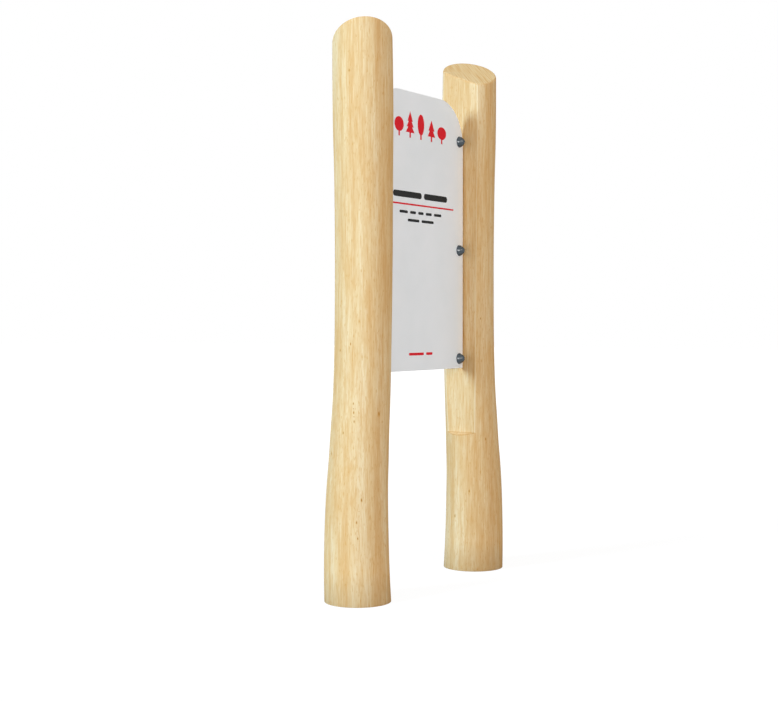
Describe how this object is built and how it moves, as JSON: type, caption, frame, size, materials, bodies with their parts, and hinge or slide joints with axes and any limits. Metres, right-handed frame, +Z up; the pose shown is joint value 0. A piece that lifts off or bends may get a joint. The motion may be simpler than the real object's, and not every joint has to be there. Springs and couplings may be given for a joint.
{
  "type": "park interpretation sign",
  "caption": "Printed board with rounded top corners, bolted to steel angles between peeled round timber posts with slant-cut tops and sawn inner flats.",
  "frame": {"origin": "on the ground, midway between the centres of the two feet", "axes": "+Z up, +X along the board from the left post to the right one, printed face towards -Y"},
  "size_m": [0.786, 0.177, 1.5128],
  "materials": {
    "peeled_timber": "peeled and sanded, pale honey",
    "printed_board": "light grey laminate, satin",
    "red_film": "cut vinyl film, satin red",
    "black_film": "cut vinyl film, satin black",
    "zinc_steel": "hot-dip galvanised, dull",
    "stainless_steel": "plain stainless",
    "cap_plastic": "moulded nylon, dark slate, fine satin"
  },
  "bodies": {
    "root": {"sign_panel": "printed_board", "red_graphics": "red_film", "black_graphics": "black_film", "left_post": "peeled_timber", "left_foot_socket": "zinc_steel", "left_bracket": "zinc_steel", "left_coach_screws": "zinc_steel", "left_coach_washers": "zinc_steel", "left_panel_bolts": "stainless_steel", "left_front_washers": "stainless_steel", "left_front_cap_bases": "cap_plastic", "left_front_caps": "cap_plastic", "left_rear_washers": "stainless_steel", "left_lock_nuts": "stainless_steel", "left_rear_cap_bases": "cap_plastic", "left_rear_caps": "cap_plastic", "right_post": "peeled_timber", "right_foot_socket": "zinc_steel", "right_bracket": "zinc_steel", "right_coach_screws": "zinc_steel", "right_coach_washers": "zinc_steel", "right_panel_bolts": "stainless_steel", "right_front_washers": "stainless_steel", "right_front_cap_bases": "cap_plastic", "right_front_caps": "cap_plastic", "right_rear_washers": "stainless_steel", "right_lock_nuts": "stainless_steel", "right_rear_cap_bases": "cap_plastic", "right_rear_caps": "cap_plastic"}
  },
  "joints": []
}
